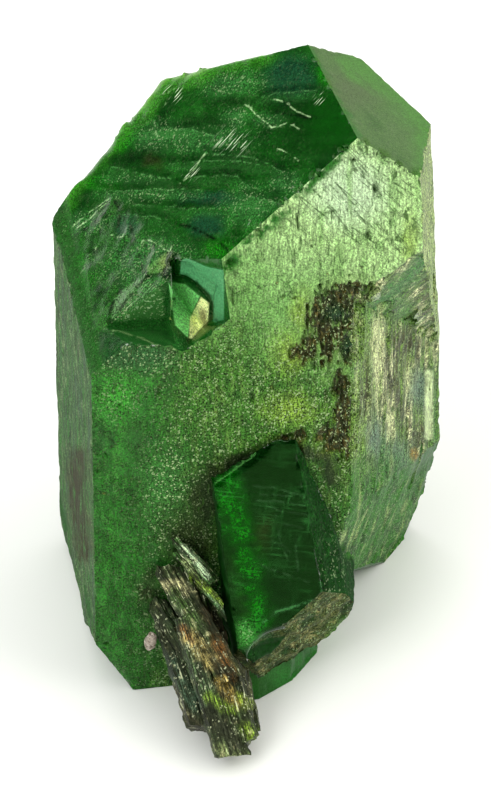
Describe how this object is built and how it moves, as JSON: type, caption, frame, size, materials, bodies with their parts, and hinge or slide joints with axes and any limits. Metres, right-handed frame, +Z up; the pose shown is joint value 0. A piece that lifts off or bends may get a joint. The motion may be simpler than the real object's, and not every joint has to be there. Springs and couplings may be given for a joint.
{
  "type": "diopside crystal",
  "caption": "Stout prismatic green diopside crystal with a roof-shaped top, standing on its broken base, with a small crystal and a bunch of blades grown on its front.",
  "frame": {"origin": "under the middle of the specimen, on the surface that it stands on", "axes": "+Z up along the prism's length, +Y from the front face back into the crystal, +X to the right along the front face"},
  "size_m": [0.0208, 0.025, 0.0364],
  "materials": {
    "green_diopside": "translucent chrome green, glossy on the left roof face and finely etched and frosted on the front, with brown patches and a beige streaked break on the right",
    "clear_diopside": "glossy, see-through deep green with a brown rough broken end",
    "amphibole": "silky striated blades, grey-green to golden brown, glittering on the cleavage faces",
    "pale_mineral": "dull whitish grain"
  },
  "bodies": {
    "root": {"main_crystal": "green_diopside", "side_crystal": "clear_diopside", "blade_cluster": "amphibole", "pale_grain": "pale_mineral"}
  },
  "joints": []
}
